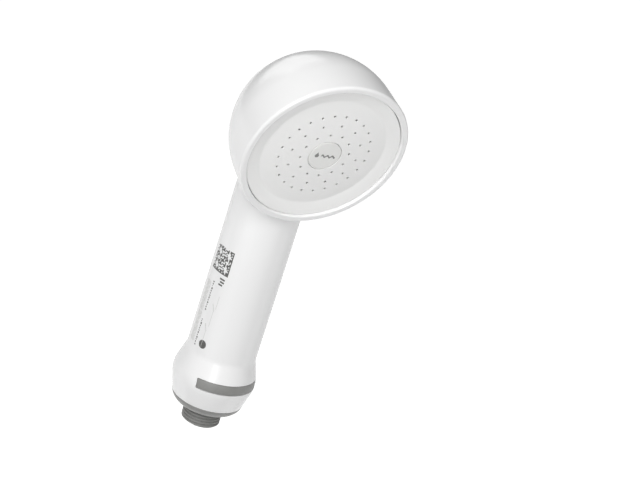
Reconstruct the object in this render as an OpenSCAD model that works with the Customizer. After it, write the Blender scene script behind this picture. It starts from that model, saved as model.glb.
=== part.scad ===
// Handheld filter shower head: a round head with a tilted spray face, a straight wide handle
// that holds a hollow-fibre filter cartridge, and a flared tail with a threaded inlet that
// holds a spring-loaded check valve and a flow limiter.
//
// Frame: origin at the centre of the inlet's lower end, +Z up along the handle, spray side -Y.

/* [Overall] */
// Height from the end of the inlet thread to the top of the head
overall_h = 220.3; // [180:0.1:265]
// Radius of the round head
head_r = 43.3; // [36:0.1:52]
// Outer radius of the handle
handle_r = 18.8; // [17.5:0.1:22.6]
// Downward tilt of the spray face from vertical
tilt = 17; // [12:0.5:22]

/* [Head] */
// Distance from the centre of the round head to the crown of the spray plate
face_depth = 13.8; // [12:0.1:17]
// Draft of the head's skirt, which widens to the rim
skirt_draft = 3.3; // [1:0.1:5]
// Height of the rim above the crown of the spray plate
rim_proud = 0.45; // [0:0.05:1.5]
// Rounding of the rim's outer edge
rim_round = 1.5; // [0.8:0.1:1.8]
// Wall of the head shell
head_wall = 2.9; // [2.2:0.1:3.6]
// Outer radius of the screw boss inside the head
boss_r = 4.5; // [3.6:0.1:5.4]
// Depth of the seam groove between the head and the upper handle
neck_seam = 0.1; // [0.05:0.01:0.3]
// Distance that the head's fairing reaches down the back of the handle
fairing_drop = 17; // [12:0.5:22]
// Distance that the neck spigot reaches below the head
neck_drop = 7; // [6:0.5:9]

/* [Spray face] */
// Width of the insert's sloping border, outside the domed spray plate
border_w = 6.9; // [6.5:0.1:12]
// Height of the plate's dome
plate_sag = 3.1; // [1.5:0.1:4]
// Height of the insert's outer edge below the plate's crown
insert_edge_drop = 1.1; // [0.6:0.1:1.6]
// Thickness of the spray plate
plate_t = 2.2; // [1.6:0.1:2.6]
// Depth of the insert's outer wall
insert_depth = 9; // [8.6:0.1:9.4]
// Thickness of the insert's outer wall
insert_wall = 3.4; // [3:0.1:4]
// Radius of each spray hole
jet_r = 0.5; // [0.3:0.05:0.7]
// Radii of the rings of spray holes, from the outside in
ring_rs = [24.34, 18.8, 13.15]; // [10:0.01:25]
// Number of holes in each ring
ring_counts = [24, 12, 12]; // [6:1:36]
// Angle of the first hole of each ring
ring_starts = [131.6, 116.6, 131.6]; // [0:0.1:360]
// Radius of the badge at the centre
badge_r = 8.5; // [7.8:0.1:9]
// Thickness of the badge
badge_t = 1.4; // [1.1:0.1:1.6]
// Gap round the badge
badge_gap = 0.2; // [0.1:0.05:0.3]
// Radius of the screw's head
screw_head_r = 4; // [3.4:0.1:4.4]
// Radius of the screw's shank
screw_r = 1.9; // [1.5:0.1:2.1]
// Length of the screw below its head
screw_len = 13; // [10:0.5:16]

/* [Handle] */
// Wall of the handle tube
handle_wall = 2.2; // [1.8:0.1:2.6]

/* [Tail] */
// Height of the grey cap's edge
cap_edge_z = 15.3; // [14.5:0.1:16]
// Height of the widest part of the tail
belly_z = 28.4; // [27:0.1:30]
// Distance that the tail bulges out past the handle
belly_out = 3.7; // [3:0.1:4]
// Rounding of the tail's widest part
belly_round = 16; // [12:0.5:20]
// Slope of the tail above its widest part
flank_up = 17; // [15:0.5:19]
// Slope of the tail below its widest part
flank_down = 15; // [12:0.5:18]
// Height at which the tail meets the handle
tail_top = 43; // [42.5:0.1:45]
// Lower edge of the inlaid band
band_z0 = 27.1; // [26.5:0.1:28]
// Height of the inlaid band
band_h = 5.7; // [4:0.1:6.2]
// Angle that the band spans to each side of the front
band_half_angle = 50.5; // [35:0.5:65]
// Corner radius of the band
band_corner = 0.8; // [0.6:0.1:1.4]
// Depth of the pocket for the band
band_pocket = 1.8; // [1.4:0.1:2.2]
// Distance that the band sits below the surface round it
band_sunk = 0.25; // [0.1:0.05:0.4]

/* [Inlet] */
// Outer radius of the G 1/2 inlet thread
thread_r = 10.4775; // [10.4775]
// Pitch of the inlet thread
thread_pitch = 1.814; // [1.814]
// Depth of the inlet thread
thread_depth = 1.162; // [1.162]
// Number of thread ridges
thread_turns = 5; // [4:1:5]
// Height of the cap's underside above the end of the thread
shoulder_z = 9.7; // [9.5:0.1:10.5]
// Rounding of the cap's lower edge
cap_round = 7.5; // [6.5:0.1:7.6]
// Radius of the inlet bore
inlet_bore_r = 7.5; // [6.2:0.05:7.7]
// Depth of the open mouth below the ledge
mouth_depth = 5.2; // [4.5:0.1:5.5]

/* [Check valve] */
// Travel of the check valve's poppet
valve_lift = 2.5; // [1.5:0.1:2.5]
// Gap between the poppet's disc and the bore round it
poppet_gap = 0.7; // [0.5:0.05:0.9]
// Lap of the poppet's disc over the valve seat
seat_lap = 0.7; // [0.4:0.05:0.8]
// Radius of the poppet's stem
stem_r = 1.25; // [1:0.05:1.4]
// Radial running clearance of the stem in its guide
stem_clear = 0.05; // [0.03:0.01:0.1]
// Wire radius of the valve spring
wire_r = 0.3; // [0.2:0.05:0.35]
// Distance from the edge of the poppet's disc in to the middle of the spring's wire
coil_inset = 1.8; // [1.6:0.05:1.85]
// Number of turns of the valve spring
coil_turns = 4; // [3:0.5:4]

/* [Cartridge] */
// Wall of the cartridge tube
cartridge_wall = 1.2; // [1:0.1:1.5]
// Radius of one strand of the fibre bundle
strand_r = 0.8; // [0.6:0.05:1]
// Spacing of the strands
strand_pitch = 2.4; // [2.3:0.1:3]
// Thickness of the resin that the strands end in
potting_t = 8; // [5:0.5:10]

/* [Hidden] */
$fn = 96;
e = 0.01;          // overrun of a cut past the face that it opens
fit = 0.05;        // gap of a seated fit, on each side
snug = 0.1;        // gap of a plug in its socket, on each side
touch = 0.02;      // gap of a piece that lies against another
lap = 1;           // depth that joined shapes run into each other, and that a cut runs past a face

// Head and its face frame: +Z of the face frame is the way the water leaves
head_y = handle_r - head_r;
head_z = overall_h - head_r;
face_y = head_y - face_depth * cos(tilt);
face_z = head_z - face_depth * sin(tilt);
cavity_r = head_r - head_wall;
insert_r = cavity_r - 0.3;
skirt_z = -face_depth - head_r * sin(skirt_draft);
skirt_r = head_r * cos(skirt_draft);
rim_z = rim_proud - rim_round;
rim_r = skirt_r + (rim_z - skirt_z) * tan(skirt_draft);
fairing_z = head_z - fairing_drop;
fairing_seam = 0.1;

// Spray face insert
plate_r = insert_r - border_w;
plate_ball_r = (pow(plate_r, 2) + pow(plate_sag, 2)) / (2 * plate_sag);
insert_wall_r = insert_r - insert_wall;
hub_r = badge_r + badge_gap + 0.5;
hub_z = -7;
face_ring_r = 1;
face_ring_z = -5.2;
spreader_t = 1.3;
spreader_z = hub_z - 0.5;
spreader_step = 1.2;
feed_rings = [[15, 12], [24, 18]];     // radius and number of holes of each ring in the spreader
feed_r = 1.6;
badge_bed = 0.1;
screw_head_h = 2.2;
screw_head_gap = 0.4;
screw_gap = 0.3;
washer_t = 0.6;
screw_top_z = -badge_t - badge_bed - fit;
pocket_z = screw_top_z - screw_head_h - fit - washer_t;

// Joints between the head, the handle and the tail
tube_bore_r = handle_r - handle_wall;
spigot_r = tube_bore_r - snug;
spigot_wall = 2.6;
spigot_bore_r = spigot_r - spigot_wall;
neck_z0 = head_z - head_r - neck_drop;
neck_ring_z = neck_z0 + 3;
neck_bore_top = head_z - sqrt(pow(cavity_r, 2) - pow(spigot_bore_r - head_y, 2)) + lap;
tail_spigot_h = 8;
spigot_top = tail_top + tail_spigot_h;
tail_ring_z = spigot_top - 3;
ring_r = 0.7;      // section radius of the joint O-rings
groove_clear = 0.1;

// Tail
belly_r = handle_r + belly_out;
belly_axis_r = belly_r - belly_round;
cap_edge_r = belly_axis_r + belly_round * cos(flank_down)
    - (belly_z - belly_round * sin(flank_down) - cap_edge_z) * tan(flank_down);
tail_bore_r = handle_r - 2;
cap_spigot_r = tail_bore_r - snug;
cap_spigot_wall = 1.8;
cap_floor = 2.4;
cap_spigot_top = cap_edge_z + 6.7;
cap_ring_z = cap_spigot_top - 3;
cap_seam = 0.1;
tail_bore_top = tail_top - 7;
throat_r = spigot_bore_r - 1;
throat_cone_h = 4;
ledge_z = tail_top + 1;                // ledge that carries the prefilter disc

// Inlet boss and the pieces stacked in it
root_r = thread_r - thread_depth;
inlet_boss_r = inlet_bore_r + 2.4;
stop_h = 1.2;
stop_r = inlet_bore_r - 1.3;
strainer_z = mouth_depth + stop_h + fit;
strainer_t = 0.6;
valve_z0 = strainer_z + strainer_t + fit;
seat_z = valve_z0 + 2.5;
valve_bore_r = inlet_bore_r - 2.1;
poppet_r = valve_bore_r - poppet_gap;
seat_r = poppet_r - seat_lap;
nose_r = seat_r - 0.7;
nose_h = 0.8;
disc_z = seat_z + 0.6;
disc_t = 1;
coil_r = poppet_r - coil_inset;
spring_solid = (coil_turns + 0.5) * 2 * wire_r;
spring_z0 = disc_z + disc_t + fit;
spring_z1 = spring_z0 + spring_solid + valve_lift;
guide_z = spring_z1 + fit;
guide_t = 2;
guide_step = 0.8;
stem_proud = 1;
valve_ring_r = 0.55;
valve_ring_z = seat_z + 2;
valve_z1 = guide_z + guide_t + 0.9;
clip_z = valve_z1 + fit;
clip_t = 1;
clip_depth = 0.5;
clip_w = 1.5;
clip_opening = 3;
limiter_z = clip_z + clip_t + valve_lift;
limiter_t = 2;
limiter_r = inlet_bore_r + 0.6;
limiter_post_r = 2.2;
limiter_ring_r = 0.9;
limiter_hole_r = 0.7;
boss_top = limiter_z + limiter_t + 1;

// Cartridge
plug_r = spigot_bore_r - fit;
outlet_r = 8;
outlet_plug_h = 8;
outlet_ring_z = neck_z0 + 3.5;
base_bore_r = 9;
cartridge_r = spigot_bore_r - 0.1;
cartridge_bore_r = cartridge_r - cartridge_wall;
flange_r = tube_bore_r - 1.1;
flange_t = 1.5;
inner_plug_h = 5;
cartridge_z0 = spigot_top + fit + flange_t + fit;
cartridge_z1 = neck_z0 - fit - flange_t - fit;
prefilter_z = ledge_z + fit;
prefilter_t = 0.6;
potting_z1 = cartridge_z1 - inner_plug_h - 0.5;
strand_reach = cartridge_bore_r - strand_r - 0.6;

// ---------------------------------------------------------------- shared shapes

// Puts children into the face frame
module on_face() {
    translate([0, face_y, face_z]) rotate([90 + tilt, 0, 0]) children();
}

// A ring of rectangular section
module ring(r1, r0, z0, h) {
    translate([0, 0, z0]) difference() {
        cylinder(r = r1, h = h);
        translate([0, 0, -e]) cylinder(r = r0, h = h + 2 * e);
    }
}

// An O-ring: its section's radius, the ring's radius at the middle of the section, and height
module o_ring(section_r, middle_r, z) {
    translate([0, 0, z]) rotate_extrude() translate([middle_r, 0]) circle(r = section_r);
}

// A groove for an O-ring that seals against a bore of radius wall_r
module o_ring_groove(section_r, wall_r, plug_outer_r, z) {
    ring(plug_outer_r + lap, wall_r - 2 * section_r - groove_clear, z - section_r - groove_clear,
        2 * (section_r + groove_clear));
}

// Holes or studs set out on a circle
module on_circle(r, count, start = 0) {
    for (i = [0 : count - 1]) rotate([0, 0, start + i * 360 / count]) translate([r, 0, 0]) children();
}

// ---------------------------------------------------------------- head

// Half outline of the head, grown by extra, in the face frame
module head_outline(extra) {
    intersection() {
        translate([0, -face_depth]) circle(r = head_r + extra);
        translate([0, skirt_z - 2 * head_r]) square([2 * head_r, 2 * head_r]);
    }
    polygon([[0, skirt_z - e], [skirt_r + extra, skirt_z - e], [rim_r + extra, rim_z],
        [rim_r - rim_round, rim_proud], [0, rim_proud]]);
    translate([rim_r - rim_round + extra, rim_z]) circle(r = rim_round);
}

// Solid outer shape of the head
module head_body(extra = 0) {
    on_face() rotate_extrude($fn = 180) intersection() {
        head_outline(extra);
        translate([0, -2 * head_r]) square([2 * head_r, 3 * head_r]);
    }
}

// Inside of the head: a ball at the back and a cylinder to the rim
module head_cavity() {
    on_face() {
        translate([0, 0, -face_depth]) sphere(r = cavity_r);
        translate([0, 0, -face_depth]) cylinder(r = cavity_r, h = face_depth + rim_proud + lap);
    }
}

// Boss for the centre screw, with four ribs to the back of the head
module head_boss() {
    boss_len = face_depth + cavity_r + hub_z;
    rib_h = 12;
    rib_len = 9;
    rib_t = 1.6;
    intersection() {
        on_face() {
            translate([0, 0, hub_z - fit - boss_len]) difference() {
                cylinder(r = boss_r, h = boss_len);
                translate([0, 0, boss_len - screw_len]) cylinder(r = screw_r + fit, h = screw_len + e);
            }
            for (a = [45 : 90 : 315]) rotate([0, 0, a])
                translate([boss_r - rib_t / 3, -rib_t / 2, -face_depth - cavity_r])
                    cube([rib_len, rib_t, rib_h]);
        }
        on_face() translate([0, 0, -face_depth]) sphere(r = cavity_r + lap);
    }
}

module head_shell() color("whitesmoke") {
    difference() {
        union() {
            head_body();
            translate([0, 0, fairing_z]) cylinder(r = handle_r, h = head_z - fairing_z);
            translate([0, 0, neck_z0]) cylinder(r = spigot_r, h = head_z - neck_z0);
        }
        head_cavity();
        translate([0, 0, neck_z0 - e]) cylinder(r = spigot_bore_r, h = neck_bore_top - neck_z0);
        o_ring_groove(ring_r, tube_bore_r, spigot_r, neck_ring_z);
    }
    head_boss();
}

module neck_o_ring() color("dimgray") o_ring(ring_r, tube_bore_r - ring_r, neck_ring_z);

// ---------------------------------------------------------------- spray face

// Half outline of what lies under the plate's dome, out to radius r and down to depth z
module crown(r, z, drop = 0) {
    intersection() {
        translate([0, -plate_ball_r - drop]) circle(r = plate_ball_r, $fn = 1440);
        translate([0, z]) square([r, -z + lap]);
    }
}

module jets() {
    for (k = [0 : len(ring_rs) - 1])
        on_circle(ring_rs[k], ring_counts[k], ring_starts[k])
            translate([0, 0, -plate_sag - plate_t - lap])
                cylinder(r = jet_r, h = plate_sag + plate_t + 2 * lap);
}

// Half outline of the insert: the plate's dome, and the border that slopes up to the outer wall
module insert_outline() {
    chamfer = 0.3;
    lean = 1;          // the tool that shapes the dome leans outwards by this at its top
    difference() {
        polygon([[0, hub_z], [hub_r + lap, hub_z], [hub_r + lap, -insert_depth], [insert_r, -insert_depth],
            [insert_r, -insert_edge_drop - chamfer], [insert_r - chamfer, -insert_edge_drop],
            [plate_r, -plate_sag], [plate_r, lap], [0, lap]]);
        difference() {
            polygon([[0, -plate_sag], [plate_r, -plate_sag], [plate_r + lean, 2 * lap], [0, 2 * lap]]);
            translate([0, -plate_ball_r]) circle(r = plate_ball_r, $fn = 1440);
        }
    }
}

// Half outline of the hollow behind the plate, with the step that the spreader seats on
module hollow_outline() {
    difference() {
        crown(insert_wall_r - spreader_step, -insert_depth - lap, plate_t);
        translate([0, -insert_depth - 2 * lap]) square([hub_r, insert_depth + 2 * lap]);
    }
    translate([0, -insert_depth - lap]) square([insert_wall_r, insert_depth + lap + spreader_z]);
}

// Half outline of the pocket for the badge, the pocket for the screw's head and the shank's hole
module pocket_outline() {
    translate([0, -badge_t - badge_bed]) square([badge_r + badge_gap, badge_t + badge_bed + lap]);
    translate([0, pocket_z]) square([screw_head_r + screw_head_gap, -pocket_z]);
    translate([0, hub_z - lap]) square([screw_r + screw_gap, pocket_z - hub_z + 2 * lap]);
}

module spray_face() color("gainsboro") on_face() {
    difference() {
        rotate_extrude($fn = 180) difference() {
            insert_outline();
            hollow_outline();
            pocket_outline();
        }
        jets();
        o_ring_groove(face_ring_r, cavity_r, insert_r, face_ring_z);
    }
}

module face_o_ring() color("dimgray") on_face() o_ring(face_ring_r, cavity_r - face_ring_r, face_ring_z);

module flow_spreader() color("white") on_face() difference() {
    translate([0, 0, spreader_z - fit - spreader_t])
        cylinder(r = insert_wall_r - snug, h = spreader_t);
    translate([0, 0, spreader_z - spreader_t - lap]) {
        cylinder(r = boss_r + 2 * snug, h = spreader_t + 2 * lap);
        for (f = feed_rings) on_circle(f[0], f[1]) cylinder(r = feed_r, h = spreader_t + 2 * lap);
    }
}

module badge() color("lightgray") on_face() rotate_extrude() crown(badge_r, -badge_t);

module centre_screw() color("silver") on_face() difference() {
    recess_l = 4.4;
    recess_w = 0.9;
    recess_depth = 1.4;
    union() {
        translate([0, 0, screw_top_z - screw_head_h]) cylinder(r = screw_head_r, h = screw_head_h);
        translate([0, 0, screw_top_z - screw_head_h - screw_len]) cylinder(r = screw_r, h = screw_len + e);
    }
    for (a = [0, 90]) rotate([0, 0, a]) translate([-recess_l / 2, -recess_w / 2, screw_top_z - recess_depth])
        cube([recess_l, recess_w, recess_depth + lap]);
}

module screw_washer() color("black") on_face()
    ring(screw_head_r + screw_head_gap / 2, screw_r + screw_gap / 2, pocket_z + touch, washer_t);

// ---------------------------------------------------------------- handle

module handle_tube() color("whitesmoke") difference() {
    ring(handle_r, tube_bore_r, tail_top + fit, fairing_z - fairing_seam - tail_top - fit);
    head_body(neck_seam);
}

// ---------------------------------------------------------------- tail

// Half outline of the tail from the cap's edge to the handle
module tail_outline(inset = 0) {
    up_r = belly_axis_r + belly_round * cos(flank_up);
    up_z = belly_z + belly_round * sin(flank_up);
    down_r = belly_axis_r + belly_round * cos(flank_down);
    down_z = belly_z - belly_round * sin(flank_down);
    top_z = up_z + (up_r - handle_r) / tan(flank_up);
    intersection() {
        translate([-inset, 0]) {
            polygon([[0, cap_edge_z], [cap_edge_r, cap_edge_z], [down_r, down_z], [up_r, up_z],
                [handle_r, top_z], [handle_r, tail_top], [0, tail_top]]);
            translate([belly_axis_r, belly_z]) intersection() {
                circle(r = belly_round, $fn = 180);
                polygon([[0, 0], [2 * belly_round, -2 * belly_round * tan(flank_down)],
                    [2 * belly_round, 2 * belly_round * tan(flank_up)]]);
            }
        }
        square([belly_r + lap, tail_top]);
    }
}

// Pocket for the band, made smaller by gap: a round-cornered slot cut in from the front
module band_window(gap) {
    w = 2 * (belly_r * sin(band_half_angle) - gap);
    h = band_h - 2 * gap;
    difference() {
        translate([0, 0, band_z0 + band_h / 2]) rotate([90, 0, 0])
            linear_extrude(height = belly_r + lap) {
                square([w - 2 * band_corner, h], center = true);
                square([w, h - 2 * band_corner], center = true);
                for (x = [-1, 1]) for (z = [-1, 1])
                    translate([x * (w / 2 - band_corner), z * (h / 2 - band_corner)])
                        circle(r = band_corner, $fn = 32);
            }
        translate([0, 0, band_z0 - lap]) cylinder(r = belly_r - band_pocket + gap / 4, h = band_h + 2 * lap);
    }
}

module tail_shell() color("whitesmoke") difference() {
    union() {
        rotate_extrude($fn = 180) tail_outline();
        translate([0, 0, tail_top - lap]) cylinder(r = spigot_r, h = tail_spigot_h + lap);
    }
    translate([0, 0, cap_edge_z - e]) cylinder(r = tail_bore_r, h = tail_bore_top - cap_edge_z + e);
    translate([0, 0, tail_bore_top - e]) cylinder(r1 = tail_bore_r, r2 = throat_r, h = throat_cone_h);
    translate([0, 0, tail_bore_top]) cylinder(r = throat_r, h = spigot_top - tail_bore_top + lap);
    translate([0, 0, ledge_z]) cylinder(r = spigot_bore_r, h = spigot_top - ledge_z + lap);
    o_ring_groove(ring_r, tube_bore_r, spigot_r, tail_ring_z);
    band_window(0);
}

module band_inlay() color("gray") intersection() {
    band_window(snug);
    rotate_extrude($fn = 180) tail_outline(band_sunk);
}

module tail_o_ring() color("dimgray") o_ring(ring_r, tube_bore_r - ring_r, tail_ring_z);

// ---------------------------------------------------------------- inlet

// Half outline of the cap: its rounded lower edge meets the tail's lower slope
module cap_outline() {
    corner_r = cap_edge_r - cap_round * cos(flank_down);
    corner_z = max(cap_edge_z + cap_round * sin(flank_down), shoulder_z + cap_round);
    inside = 0.7 * cap_round;   // a point just inside the round corner
    polygon([[0, shoulder_z], [corner_r, shoulder_z], [corner_r + inside, corner_z - inside],
        [cap_edge_r, cap_edge_z - cap_seam], [0, cap_edge_z - cap_seam]]);
    intersection() {
        translate([corner_r, corner_z]) circle(r = cap_round, $fn = 180);
        translate([0, shoulder_z]) square([cap_edge_r, cap_edge_z - cap_seam - shoulder_z]);
    }
}

module inlet_thread() {
    first_z = 1.3;
    crest_half = 0.22;
    root_half = 0.78;
    lead_in = 0.4;
    rotate_extrude($fn = 120) {
        polygon([[0, 0], [root_r - lead_in, 0], [root_r, lead_in], [root_r, shoulder_z + lap],
            [0, shoulder_z + lap]]);
        for (i = [0 : thread_turns - 1]) translate([0, first_z + i * thread_pitch])
            polygon([[root_r - e, -root_half], [thread_r, -crest_half], [thread_r, crest_half],
                [root_r - e, root_half]]);
    }
}

module inlet_cap() color("gray") difference() {
    union() {
        rotate_extrude($fn = 180) cap_outline();
        inlet_thread();
        translate([0, 0, cap_edge_z - lap])
            cylinder(r = cap_spigot_r, h = cap_spigot_top - cap_edge_z + lap);
        translate([0, 0, shoulder_z + lap]) cylinder(r = inlet_boss_r, h = boss_top - shoulder_z - lap);
    }
    // hollow round the boss
    ring(cap_spigot_r - cap_spigot_wall, inlet_boss_r, shoulder_z + cap_floor, boss_top);
    // mouth and bore, with the stop between them, the clip's groove and the limiter's seat
    translate([0, 0, -e]) cylinder(r = inlet_bore_r, h = mouth_depth + e);
    translate([0, 0, mouth_depth - e]) cylinder(r = stop_r, h = stop_h + 2 * e);
    translate([0, 0, mouth_depth + stop_h]) cylinder(r = inlet_bore_r, h = boss_top);
    translate([0, 0, clip_z - fit]) cylinder(r = inlet_bore_r + clip_depth + fit, h = clip_t + 2 * fit);
    translate([0, 0, limiter_z - fit]) cylinder(r = limiter_r + fit, h = boss_top);
    o_ring_groove(ring_r, tail_bore_r, cap_spigot_r, cap_ring_z);
}

module cap_o_ring() color("dimgray") o_ring(ring_r, tail_bore_r - ring_r, cap_ring_z);

// A thin disc with rings of holes round a hole at its centre
module screen(r, t, rings, hole_pitch, hole_r) difference() {
    cylinder(r = r, h = t);
    translate([0, 0, -lap]) {
        cylinder(r = hole_r, h = t + 2 * lap);
        for (k = [1 : rings]) on_circle(k * hole_pitch, 6 * k) cylinder(r = hole_r, h = t + 2 * lap);
    }
}

module inlet_strainer() color("silver") translate([0, 0, strainer_z])
    screen(inlet_bore_r - fit, strainer_t, 3, (stop_r - 1.4) / 3, 0.5);

// ---------------------------------------------------------------- check valve

module check_valve_body() color("white") difference() {
    translate([0, 0, valve_z0]) cylinder(r = inlet_bore_r - fit, h = valve_z1 - valve_z0);
    translate([0, 0, valve_z0 - e]) cylinder(r = seat_r, h = seat_z - valve_z0 + lap);
    translate([0, 0, valve_z0 - e]) cylinder(r1 = seat_r + lap, r2 = seat_r, h = lap);
    translate([0, 0, seat_z]) cylinder(r = valve_bore_r, h = valve_z1 - seat_z + lap);
    translate([0, 0, guide_z]) cylinder(r = valve_bore_r + guide_step, h = valve_z1 - guide_z + lap);
    o_ring_groove(valve_ring_r, inlet_bore_r, inlet_bore_r - fit, valve_ring_z);
}

module valve_o_ring() color("black") o_ring(valve_ring_r, inlet_bore_r - valve_ring_r, valve_ring_z);

// The poppet closes downwards on its seat; water lifts it along its stem
module valve_poppet() color("white") {
    stem_top = guide_z + fit + guide_t + stem_proud;
    translate([0, 0, seat_z - nose_h]) cylinder(r1 = nose_r - nose_h, r2 = nose_r, h = nose_h);
    translate([0, 0, seat_z - e]) cylinder(r = nose_r, h = disc_z - seat_z + 2 * e);
    translate([0, 0, disc_z]) cylinder(r = poppet_r, h = disc_t);
    translate([0, 0, disc_z + disc_t - e]) cylinder(r = stem_r, h = stem_top - disc_z - disc_t);
}

module poppet_seal() color("black")
    ring(poppet_r, nose_r + touch, seat_z + fit, disc_z - seat_z - fit - touch);

// One point of the spring's wire at turn t, on the section's corner k
function wire_point(t, k, sides) =
    let (a = 360 * t, b = 360 * k / sides, flat_turn = 0.5,
        lift = (spring_z1 - spring_z0 - 2 * wire_r)
            * min(max(t - flat_turn, 0) / (coil_turns - 2 * flat_turn), 1))
    [(coil_r + wire_r * cos(b)) * cos(a), (coil_r + wire_r * cos(b)) * sin(a),
        spring_z0 + wire_r + lift + wire_r * sin(b)];

module valve_spring() color("silver") {
    sides = 8;
    turn_steps = 20;
    steps = turn_steps * coil_turns;
    points = [for (i = [0 : steps]) for (k = [0 : sides - 1]) wire_point(i / turn_steps, k, sides)];
    walls = [for (i = [0 : steps - 1]) for (k = [0 : sides - 1]) let (n = (k + 1) % sides)
        [i * sides + k, i * sides + n, (i + 1) * sides + n, (i + 1) * sides + k]];
    start_cap = [[for (k = [sides - 1 : -1 : 0]) k]];
    end_cap = [[for (k = [0 : sides - 1]) steps * sides + k]];
    polyhedron(points = points, faces = concat(walls, start_cap, end_cap));
}

module valve_guide() color("white") {
    outer_r = valve_bore_r + guide_step - fit;
    inner_r = outer_r - 1.1;
    sleeve_r = stem_r + 1.2;
    spoke_w = 1.2;
    sink = 0.2;        // depth that a spoke runs into the ring and the sleeve
    ring(outer_r, inner_r, guide_z + fit, guide_t);
    ring(sleeve_r, stem_r + stem_clear, guide_z + fit, guide_t);
    for (a = [0 : 120 : 240]) rotate([0, 0, a]) translate([sleeve_r - sink, -spoke_w / 2, guide_z + fit])
        cube([inner_r - sleeve_r + 2 * sink, spoke_w, guide_t]);
}

// Snap ring that keeps the valve in its bore
module valve_clip() color("silver") difference() {
    ring(inlet_bore_r + clip_depth, inlet_bore_r + clip_depth - clip_w, clip_z, clip_t);
    translate([0, -clip_opening / 2, clip_z - lap])
        cube([inlet_bore_r + clip_depth + lap, clip_opening, clip_t + 2 * lap]);
}

module flow_limiter() color("mediumseagreen") difference() {
    union() {
        translate([0, 0, limiter_z]) cylinder(r = limiter_r, h = limiter_t);
        translate([0, 0, limiter_z + limiter_t - e]) cylinder(r = limiter_post_r, h = 2 * limiter_ring_r);
    }
    translate([0, 0, limiter_z - lap]) on_circle(limiter_post_r + limiter_ring_r, 6)
        cylinder(r = limiter_hole_r, h = limiter_t + 2 * lap);
}

module limiter_ring() color("black")
    o_ring(limiter_ring_r, limiter_post_r + limiter_ring_r + touch,
        limiter_z + limiter_t + limiter_ring_r + touch);

// ---------------------------------------------------------------- filter cartridge

module cartridge_head() color("white") difference() {
    union() {
        translate([0, 0, cartridge_z1 - inner_plug_h])
            cylinder(r = cartridge_bore_r - fit, h = inner_plug_h + 2 * fit);
        translate([0, 0, cartridge_z1 + fit]) cylinder(r = flange_r, h = flange_t);
        translate([0, 0, neck_z0 - fit - e]) cylinder(r = plug_r, h = outlet_plug_h);
    }
    translate([0, 0, cartridge_z1 - inner_plug_h - lap])
        cylinder(r = outlet_r, h = neck_z0 + outlet_plug_h - cartridge_z1 + inner_plug_h + 2 * lap);
    o_ring_groove(ring_r, spigot_bore_r, plug_r, outlet_ring_z);
}

module cartridge_o_ring() color("dimgray") o_ring(ring_r, spigot_bore_r - ring_r, outlet_ring_z);

module cartridge_tube() color([0.8, 0.88, 0.92])
    ring(cartridge_r, cartridge_bore_r, cartridge_z0, cartridge_z1 - cartridge_z0);

// Half-widths of the strand loops that fit the tube in the row at y
function loop_half_widths(y) = [for (a = [strand_pitch / 2 : strand_pitch : strand_reach])
    if (norm([a, y]) <= strand_reach) a];

row_count = floor(strand_reach / strand_pitch);

module strand_places() {
    for (row = [-row_count : row_count]) for (a = loop_half_widths(row * strand_pitch))
        for (side = [-1, 1]) translate([side * a, row * strand_pitch, 0]) children();
}

// Each strand is a loop: up one side, round and down the other, open in the resin at the top
module fibre_bundle() color("ivory") {
    bend_z = cartridge_z0 + inner_plug_h + 2 + cartridge_bore_r;
    for (row = [-row_count : row_count]) for (a = loop_half_widths(row * strand_pitch))
        translate([0, row * strand_pitch, bend_z]) {
            for (side = [-1, 1]) translate([side * a, 0, 0])
                cylinder(r = strand_r, h = potting_z1 - bend_z, $fn = 24);
            rotate([-90, 0, 0]) rotate_extrude(angle = 180, $fn = 48)
                translate([a, 0]) circle(r = strand_r, $fn = 24);
        }
}

module potting_disc() color("wheat") difference() {
    translate([0, 0, potting_z1 - potting_t]) cylinder(r = cartridge_bore_r - touch, h = potting_t);
    translate([0, 0, potting_z1 - potting_t - lap]) strand_places()
        cylinder(r = strand_r + touch, h = potting_t + 2 * lap, $fn = 24);
}

module cartridge_base() color("white") difference() {
    union() {
        translate([0, 0, prefilter_z + prefilter_t + fit])
            cylinder(r = plug_r, h = spigot_top - prefilter_z - prefilter_t);
        translate([0, 0, spigot_top + fit]) cylinder(r = flange_r, h = flange_t);
        translate([0, 0, cartridge_z0 - fit - e])
            cylinder(r = cartridge_bore_r - fit, h = inner_plug_h);
    }
    translate([0, 0, ledge_z]) cylinder(r = base_bore_r, h = cartridge_z0 + inner_plug_h - ledge_z);
}

module prefilter_disc() color("silver") translate([0, 0, prefilter_z])
    screen(plug_r, prefilter_t, 4, 2.5, 0.9);

head_shell();
handle_tube();
tail_shell();
band_inlay();
inlet_cap();
spray_face();
face_o_ring();
flow_spreader();
badge();
centre_screw();
screw_washer();
neck_o_ring();
cartridge_head();
cartridge_o_ring();
potting_disc();
fibre_bundle();
cartridge_tube();
cartridge_base();
prefilter_disc();
tail_o_ring();
cap_o_ring();
inlet_strainer();
check_valve_body();
valve_o_ring();
valve_poppet();
poppet_seal();
valve_spring();
valve_guide();
valve_clip();
flow_limiter();
limiter_ring();
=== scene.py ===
"""Looks of a handheld filter shower head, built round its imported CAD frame."""

import math

import bpy
from mathutils import Matrix, Vector


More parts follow.
